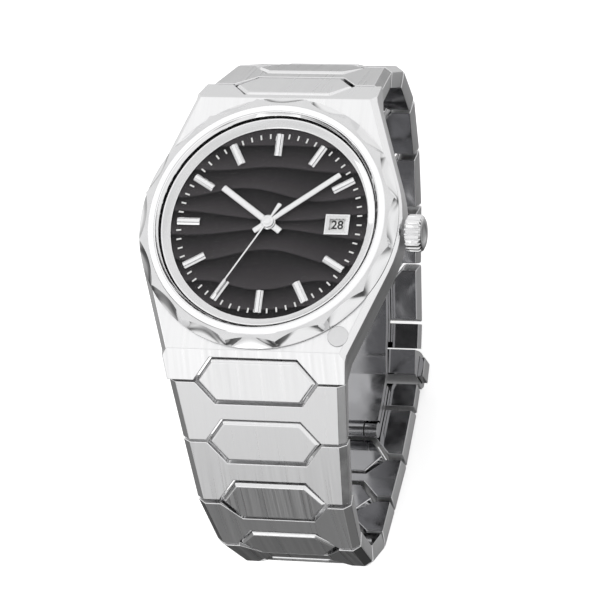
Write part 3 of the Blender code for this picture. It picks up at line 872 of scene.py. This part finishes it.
@dataclass
class Dial:
    """The wave dial with its applied batons, minute track and date window.

    Args:
        radius: The dial's radius.
        relief: How far each wave's hollow lies under its crest.
        baton_inner: The radius where a baton starts.
        baton_outer: The radius where it ends.
        baton_width: How wide it is.
        date_x: The X of the date window's middle.
        shown_date: The number in the window at rest.
        crests: Each wave edge's height on the dial, then the size, phase and stretch of its ripple.
    """

    radius: float = 16.28
    relief: float = 0.3
    baton_inner: float = 10.5
    baton_outer: float = 14.0
    baton_width: float = 1.2
    date_x: float = 10.36
    shown_date: int = 28
    crests: tuple[tuple[float, float, float, float], ...] = (
        (12.0, 0.25, 1.5, 0.6),
        (8.5, 0.3, 1.6, 1.1),
        (4.5, 0.75, 2.75, 1.0),
        (1.2, 0.75, -2.0, 0.62),
        (-1.5, 0.55, 1.3, 0.8),
        (-5.2, 0.9, 1.45, 0.95),
        (-9.6, 0.75, -1.6, 1.15),
        (-13.0, 0.5, -1.4, 0.9),
    )

    def wave(self, number: int, x: np.ndarray) -> np.ndarray:
        """The Y of a wave's edge: its height plus a sine ripple and a weaker one of twice the length."""
        if number < 0:
            return np.full_like(x, self.radius + 3.0)
        if number >= len(self.crests):
            return np.full_like(x, -self.radius - 3.0)
        level, size, phase, stretch = self.crests[number]
        angle = x * stretch * 0.3 + phase
        return level + size * np.sin(angle) + 0.3 * size * np.sin(0.5 * angle + 1.0)

    def height(self, x: np.ndarray, y: np.ndarray) -> np.ndarray:
        """How high each point lies in its band: 0 in the hollow under an edge, 1 at the next crest."""
        share = np.zeros_like(x)
        for number in range(-1, len(self.crests)):
            above, below = self.wave(number, x), self.wave(number + 1, x)
            inside = (y <= above) & (y > below)
            ramp = (above - y) / np.maximum(above - below, 1e-6)
            drop = np.clip((above - y) / 0.14, 0.0, 1.0)
            band = np.clip(1.0 - drop + ramp**0.8, 0.0, 1.0)
            share = np.where(inside, band, share)
        return share

    def face(self) -> None:
        """The dial's sheet: circles and spokes at z = relief (share - 1), holed for date and arbor."""
        radii = np.linspace(0.7, self.radius, 150)
        r, a = np.meshgrid(radii, round_angles(420), indexing="ij")
        x, y = r * np.sin(a), r * np.cos(a)
        share = self.height(x, y)
        flat = np.clip((self.radius - r) / 0.3, 0.0, 1.0)
        z = self.relief * (share - 1.0) * flat - 0.02
        rows, columns = x.shape
        number = np.arange(rows * columns).reshape(rows, columns)
        along = np.roll(number, -1, axis=1)
        faces = np.stack([along[:-1], along[1:], number[1:], number[:-1]], axis=-1).reshape(-1, 4)
        points = np.stack([x, y, z + DIAL_HEIGHT], axis=-1).reshape(-1, 3)
        middle = points[faces].mean(axis=1)
        window = (np.abs(middle[:, 0] - self.date_x) < 1.4) & (np.abs(middle[:, 1]) < 1.1)
        # painted shade: darkest in the hollow under each wave edge, lighter towards the next crest
        painted_shade = (0.9 * share**1.4 - 0.12).reshape(-1)
        skin = Skin(points, faces[~window].tolist(), painted_shade)
        sheet = place_piece("wave_dial", skin, [DIAL_PAINT], "head", ("dial",), crease=60.0)
        wall = sheet.modifiers.new("sheet", "SOLIDIFY")
        wall.thickness = 0.15 * MM
        wall.offset = -1.0

    def batons(self) -> None:
        """Eleven applied batons: a raised flat strip between two grooves and two sloping sides."""
        half, low, high = self.baton_width / 2, -0.05, 0.35
        shoulder, groove = 0.26, 0.12
        side = [(half, low), (half, 0.1), (0.42, shoulder), (0.37, shoulder), (0.32, groove), (0.27, groove)]
        side += [(0.23, high)]
        across = np.array(side + [(-x, z) for x, z in reversed(side)])
        length = self.baton_outer - self.baton_inner
        stations = ((0.0, 0.86), (0.06, 1.0), (length - 0.06, 1.0), (length, 0.86))
        rings = []
        for y, share in stations:
            x = across[:, 0] * (0.5 + share / 2)
            z = low + (across[:, 1] - low) * share
            rings.append(np.column_stack([x, np.full(len(across), self.baton_inner + y), z]))
        one = skin_of(np.array(rings)).on_head()
        hours = [hour for hour in range(12) if hour != 3]
        skin = one.turned(30.0 * hours[0])
        for hour in hours[1:]:
            skin = skin + one.turned(30.0 * hour)
        place_piece("hour_batons", skin, [POLISHED], "head", crease=12.0)

    def track(self) -> None:
        """The printed minute track: a white bar at every minute that has no baton."""
        layers = [(-0.03, 0, 0), (0.02, 0, 0), (0.03, 0.02, 0.02)]
        bar = stacked(box_outline(0.24, 0.75), layers).moved((0, 13.68, 0)).on_head()
        minutes = [minute for minute in range(60) if minute % 5 or minute == 15]
        skin = bar.turned(6.0 * minutes[0])
        for minute in minutes[1:]:
            skin = skin + bar.turned(6.0 * minute)
        place_piece("minute_track", skin, [WHITE_PRINT], "head")

    def date(self) -> None:
        """The date window's bevelled frame and the disc of numbers under it."""
        outer, inner = np.array([3.7, 3.15]), np.array([2.3, 1.75])
        levels = [(outer, 0.0), (outer, 0.15), (outer - 0.1, 0.2), (outer - 0.4, 0.2)]
        levels += [(inner + 0.06, 0.02), (inner, -0.12), (inner + 0.08, -0.2), (outer - 0.2, -0.2)]
        middle = np.array([self.date_x, 0.0])
        rings = [np.column_stack([box_outline(*size) + middle, np.full(4, z)]) for size, z in levels]
        skin = skin_of(np.array(rings), closed_rows=True).on_head()
        place_piece("date_window_frame", skin, [BEVEL_POLISH], "head", ("date_frame",), crease=15.0)
        near, far, under, top = 8.0, 13.5, -1.15, -0.49
        profile = [(near, under), (far, under), (far, top - 0.05), (far - 0.05, top)]
        profile += [(near + 0.05, top), (near, top - 0.05)]
        disc = turned_skin(profile, 6 * DAYS).on_head()
        place_piece("date_ring", disc, [DATE_CARD], "date_disc", ("date_disc",))
        self.numbers()

    def numbers(self) -> None:
        """The 31 numbers printed on the date ring, each upright as it comes to the window."""
        skin = Skin(np.zeros((0, 3)), [])
        for number in range(1, DAYS + 1):
            glyphs = text_skin(str(number), 1.85)
            x_span = glyphs.points[:, 0]
            middle = (x_span.min() + x_span.max()) / 2
            placed = glyphs.moved((self.date_x - middle - 0.1, -0.48, DIAL_HEIGHT - 0.49))
            skin = skin + placed.turned((self.shown_date - number) * 360.0 / DAYS)
        place_piece("date_numbers", skin, [BLACK_PRINT], "date_disc")

    def build(self) -> None:
        """Builds the dial and all that is on it."""
        self.face()
        self.batons()
        self.track()
        self.date()
        emblem = [(1.55, 0.1), (1.55, 0.14), (1.49, 0.2), (0.4, 0.2)]
        skin = disc_skin(emblem, 48, (12.6, -17.2)).on_head()
        place_piece("emblem", skin, [SATIN], "head", ("emblem_disc",))


def text_skin(words: str, size: float) -> Skin:
    """Text as a thin flat solid, standing 0.03 mm proud.

    Args:
        words: What it says.
        size: The letters' nominal height in millimetres.

    Returns:
        Its skin, starting at the origin and reading along X.
    """
    curve = bpy.data.curves.new("text", "FONT")
    curve.body = words
    curve.size = size
    curve.extrude = 0.015
    curve.offset = 0.035
    curve.resolution_u = 3
    maker = bpy.data.objects.new("text", curve)
    mesh = bpy.data.meshes.new_from_object(maker)
    bm = bmesh.new()
    bm.from_mesh(mesh)
    bmesh.ops.remove_doubles(bm, verts=bm.verts, dist=1e-4)
    bmesh.ops.recalc_face_normals(bm, faces=bm.faces)
    bm.verts.index_update()
    points = np.array([v.co for v in bm.verts])
    faces = [[v.index for v in f.verts] for f in bm.faces]
    bm.free()
    bpy.data.objects.remove(maker)
    bpy.data.curves.remove(curve)
    bpy.data.meshes.remove(mesh)
    return Skin(points, faces)


@dataclass
class Glass:
    """The flat crystal and the sloping flange under it.

    Args:
        radius: The crystal's radius.
        low: The height of its underside.
        high: The height of its top.
    """

    radius: float = 16.25
    low: float = 0.95
    high: float = 1.5

    def build(self) -> None:
        """Turns the crystal with its chamfered edge, and the flange's polished cone."""
        layers = [(self.radius - 0.1, self.low), (self.radius, self.low + 0.1)]
        layers += [(self.radius, self.high - 0.12), (self.radius - 0.16, self.high), (0.5, self.high)]
        place_piece("crystal_sheet", disc_skin(layers, 192).on_head(), [CLEAR], "head", ("crystal",))
        near, far, under, top = 14.88, 16.15, 0.06, 0.82
        profile = [(near, under), (far, under), (far, top), (15.95, top)]
        profile += [(15.9, 0.79), (15.1, 0.22), (14.95, 0.2), (near, 0.14)]
        flange = turned_skin(profile, 240).on_head()
        place_piece("flange", flange, [POLISHED], "head", ("chapter_ring",))


@dataclass
class Hand:
    """A straight hand with a faceted blade and a stepped hub.

    Args:
        node: The CAD node and body that it stands for.
        degrees: Where it points at rest, clockwise from 12.
        length: From the axis to the tip.
        tail: From the axis to the tail's end.
        width: Across the blade.
        tail_width: Across the tail's end.
        low: The height of its underside over the dial.
        high: The height of its top.
        hub: The hub's radius.
    """

    node: str
    degrees: float
    length: float
    tail: float
    width: float
    tail_width: float
    low: float
    high: float
    hub: float = 1.1

    def build(self) -> None:
        """Lofts the blade from tail to tip with a flat top between two bevels, and adds the hub."""
        stations = [
            (-self.tail, 0.8 * self.tail_width),
            (-self.tail + 0.1, self.tail_width),
            (-min(self.tail, 0.9), self.width),
            (self.length - 0.1, self.width),
            (self.length, 0.8 * self.width),
        ]
        rings = []
        for y, width in stations:
            half, flat = width / 2, width * 0.3
            section = [(-half, self.low), (half, self.low), (half, self.high - 0.05), (flat, self.high)]
            section += [(-flat, self.high), (-half, self.high - 0.05)]
            across = np.array(section)
            rings.append(np.column_stack([across[:, 0], np.full(6, y), across[:, 1]]))
        blade = skin_of(np.array(rings))
        lid, rim = self.high + 0.01, self.high - 0.03
        hub = [(self.hub, self.low + 0.01), (self.hub, self.high - 0.04), (self.hub - 0.06, lid)]
        hub += [(0.62, lid), (0.56, rim), (0.5, rim), (0.4, lid)]
        whole = (blade + disc_skin(hub, 48)).turned(self.degrees).on_head()
        place_piece(f"{self.node}_blade", whole, [POLISHED], self.node, (self.node,), crease=12.0)


@dataclass
class Crown:
    """The fluted crown: rings along X whose radius dips between the flutes.

    Args:
        radius: The radius over the flutes.
        start: The X of its inner end.
        end: The X of its outer end.
        height: The height of its axis over the dial.
        flutes: How many flutes go round.
        groove_depth: How deep the grooves between them are.
    """

    radius: float = 2.75
    start: float = 20.3
    end: float = 22.8
    height: float = -2.75
    flutes: int = 22
    groove_depth: float = 0.26

    def build(self) -> None:
        """Makes rings of y = r cos a, z = r sin a, with r cut by a rounded groove in each flute."""
        angles = round_angles(self.flutes * 12)
        groove = np.clip(np.cos(self.flutes * angles) * 1.6 - 0.5, 0.0, 1.0)
        dish = self.end - 0.06
        stations = [(self.start, 0.86, 0.0), (self.start + 0.12, 0.94, 0.3), (self.start + 0.35, 1.0, 1.0)]
        stations += [(self.end - 0.5, 1.0, 1.0), (self.end - 0.25, 0.95, 0.8), (self.end - 0.1, 0.84, 0.0)]
        stations += [(self.end, 0.78, 0.0), (self.end, 0.5, 0.0), (dish, 0.46, 0.0), (dish, 0.1, 0.0)]
        rings = []
        for x, share, cut in stations:
            radius = self.radius * share - self.groove_depth * cut * groove
            y, z = radius * np.cos(angles), radius * np.sin(angles)
            rings.append(np.column_stack([np.full(len(angles), x), y, z]))
        skin = skin_of(np.array(rings)).moved((0, 0, self.height)).on_head()
        place_piece("fluted_crown", skin, [POLISHED], "crown", ("crown",), crease=32.0)


# ---------------------------------------------------------------- bracelet

@dataclass
class Bracelet:
    """The two strands of wide links and hexagonal centre links."""

    link_bevel: float = 0.12
    hex_bevel: float = 0.16

    def build(self) -> None:
        """Dresses every link, each riding on its own body."""
        for body, nodes in frame["record"]["behaviour"]["bodies"].items():
            for node in nodes:
                if node.startswith("centre_link"):
                    brushed_piece(f"{node}_brushed", node, body, self.hex_bevel)
                elif node.startswith("wide_link") or node.startswith("clasp_block"):
                    brushed_piece(f"{node}_brushed", node, body, self.link_bevel)


@dataclass
class Clasp:
    """The folding clasp: tip blocks, arms, centre plate, catch housing and buttons."""

    bevel: float = 0.1

    def build(self) -> None:
        """Dresses the tip blocks as links, and the folded parts as polished strips with brushed edges and
        inner faces darkened by painted shade.
        """
        for body, nodes in frame["record"]["behaviour"]["bodies"].items():
            for node in nodes:
                if node.startswith("tip_block"):
                    brushed_piece(f"{node}_brushed", node, body, self.bevel)
                elif node.startswith(("clasp_blade", "clasp_plate", "catch_housing", "release_button")):
                    self.strip(node, body)

    def strip(self, node: str, body: str) -> None:
        """Dresses one folded part.

        Args:
            node: The CAD node that it copies and replaces.
            body: The body that it moves with.
        """
        skin = node_skin(node)
        across = np.abs(face_normals(skin)[:, 0])
        # faces into the loop: polished, with painted shade in their dark colour
        picks = np.where(across > SQUARE_ON, 1, np.where(faces_inward(skin), 2, 0))
        finishes = [POLISHED, BRUSHED_FLANK, INSIDE_POLISH_PAINTED_SHADE]
        place_piece(f"{node}_polished", skin, finishes, body, (node,), bevel=self.bevel, picks=picks)


# ---------------------------------------------------------------- studio

@dataclass
class Studio:
    """A pale floor, soft light and the camera.

    Args:
        toward: The way from the watch to the camera.
        right: The picture's right.
        up: The picture's up.
        distance: How far the camera stands, in millimetres.
        lens: The focal length for a 36 mm wide picture.
        aim_right: How far right of the dial's centre the camera aims.
        aim_up: How far above it.
        back_lean: How much the bright side of the room leans to the back.
        panel_scale: How small the room's light panels are.
        strength: How bright the room is.
    """

    toward: tuple[float, float, float] = (0.276, -0.322, 0.9057)
    right: tuple[float, float, float] = (0.9607, 0.1203, -0.25)
    up: tuple[float, float, float] = (-0.0285, 0.9391, 0.3425)
    aim_right: float = 4.572
    aim_up: float = -11.225
    distance: float = 600.0
    lens: float = 246.5
    back_lean: float = 0.95
    panel_scale: float = 1.7
    strength: float = 0.95

    def build(self) -> None:
        """Sets up the world, the floor, the lamps and the camera."""
        self.world()
        self.floor()
        self.lamps()
        self.camera()

    def world(self) -> None:
        """A soft room, bright overhead and behind the watch, with light panels and dark gaps round it."""
        room = bpy.data.worlds.new("soft_room")
        room.use_nodes = True
        tree = room.node_tree
        place = tree.nodes.new("ShaderNodeTexCoord")
        parts = tree.nodes.new("ShaderNodeSeparateXYZ")
        tree.links.new(place.outputs["Generated"], parts.inputs["Vector"])
        ramp = tree.nodes.new("ShaderNodeValToRGB")
        stops = ((0.0, 0.03), (0.1, 0.12), (0.28, 0.42), (0.46, 0.82), (0.6, 1.0), (1.0, 1.0))
        while len(ramp.color_ramp.elements) < len(stops):
            ramp.color_ramp.elements.new(0.5)
        for element, (position, level) in zip(ramp.color_ramp.elements, stops):
            element.position = position
            element.color = (level, level, level, 1.0)
        lean = tree.nodes.new("ShaderNodeMath")
        lean.operation = "MULTIPLY_ADD"
        tree.links.new(ranged(tree, parts.outputs["Y"], 0.0, 1.0), lean.inputs[0])
        lean.inputs[1].default_value = self.back_lean
        tree.links.new(parts.outputs["Z"], lean.inputs[2])
        height = ranged(tree, lean.outputs["Value"], 0.0, 1.0, start=-1.0, end=1.0)
        tree.links.new(height, ramp.inputs["Fac"])
        panels = tree.nodes.new("ShaderNodeTexNoise")
        panels.inputs["Scale"].default_value = self.panel_scale
        panels.inputs["Detail"].default_value = 0.0
        tree.links.new(place.outputs["Generated"], panels.inputs["Vector"])
        dark = ranged(tree, lean.outputs["Value"], 0.2, 1.0, start=0.1, end=0.5)
        gaps = ranged(tree, panels.outputs["Fac"], dark, 1.1, start=0.34, end=0.52)
        shaded = tree.nodes.new("ShaderNodeMix")
        shaded.data_type = "RGBA"
        shaded.blend_type = "MULTIPLY"
        shaded.inputs["Factor"].default_value = 1.0
        tree.links.new(ramp.outputs["Color"], shaded.inputs["A"])
        tree.links.new(gaps, shaded.inputs["B"])
        tree.links.new(shaded.outputs["Result"], tree.nodes["Background"].inputs["Color"])
        tree.nodes["Background"].inputs["Strength"].default_value = self.strength
        bpy.context.scene.world = room
        bpy.context.scene.view_settings.view_transform = "Standard"

    def floor(self) -> None:
        """A plain pale floor under the clasp, out of the metal's reflections."""
        mesh = bpy.data.meshes.new("floor")
        side = 4.0
        corners = [(x, y, 0.0) for x, y in box_outline(side, side).tolist()]
        mesh.from_pydata(corners, [], [(0, 1, 2, 3)])
        paint = bpy.data.materials.new("floor_paint")
        paint.use_nodes = True
        shader = paint.node_tree.nodes["Principled BSDF"]
        shader.inputs["Base Color"].default_value = (0.95, 0.95, 0.95, 1.0)
        shader.inputs["Roughness"].default_value = 0.9
        shader.inputs["Emission Color"].default_value = (1.0, 1.0, 1.0, 1.0)
        shader.inputs["Emission Strength"].default_value = 0.4
        mesh.materials.append(paint)
        floor = bpy.data.objects.new("floor", mesh)
        bpy.context.scene.collection.objects.link(floor)
        floor.visible_glossy = False

    def lamp(self, name: str, place: tuple[float, float, float], size: float, power: float) -> None:
        """A square softbox that faces the watch.

        Args:
            name: The lamp's name.
            place: Where it stands, in millimetres.
            size: The length of its side in millimetres.
            power: Its power in watts.
        """
        light = bpy.data.lights.new(name, "AREA")
        light.size = size * MM
        light.energy = power
        item = bpy.data.objects.new(name, light)
        aim = Vector((0.0, 0.0, DIAL_HEIGHT * 0.7))
        item.location = Vector(place) * MM
        item.rotation_euler = (Vector(place) - aim).to_track_quat("Z", "Y").to_euler()
        bpy.context.scene.collection.objects.link(item)

    def lamps(self) -> None:
        """The key over the back left, a front fill and a low side light."""
        self.lamp("key", (-220.0, 260.0, 760.0), 520.0, 0.25)
        self.lamp("front", (-180.0, -620.0, 260.0), 380.0, 0.3)
        self.lamp("left", (-600.0, 80.0, 300.0), 300.0, 0.2)

    def camera(self) -> None:
        """The camera, square to the view and aimed past the dial's centre."""
        data = bpy.data.cameras.new("camera")
        data.lens = self.lens
        data.sensor_width = 36.0
        data.clip_start = 0.01
        item = bpy.data.objects.new("camera", data)
        right, up, toward = (Vector(v) for v in (self.right, self.up, self.toward))
        aim = Vector((0, 0, DIAL_HEIGHT)) + self.aim_right * right + self.aim_up * up
        turn = Matrix((right, up, toward)).transposed()
        item.matrix_world = Matrix.Translation((aim + self.distance * toward) * MM) @ turn.to_4x4()
        bpy.context.scene.collection.objects.link(item)
        bpy.context.scene.camera = item


def main() -> None:
    """Builds the watch from the head outwards, then the studio."""
    logging.basicConfig(level=logging.INFO, format="%(name)s: %(message)s")
    Case().build()
    Bezel().build()
    Dial().build()
    Glass().build()
    Hand("hour_hand", 305.0, 9.2, 2.4, 0.95, 0.95, 0.25, 0.37).build()
    Hand("minute_hand", 53.0, 12.6, 2.5, 0.85, 0.85, 0.5, 0.62).build()
    Hand("seconds_hand", 210.0, 13.0, 3.2, 0.26, 0.72, 0.75, 0.83, hub=0.9).build()
    Crown().build()
    Bracelet().build()
    Clasp().build()
    Studio().build()
    bpy.context.view_layer.update()


if __name__ == "__main__":
    main()
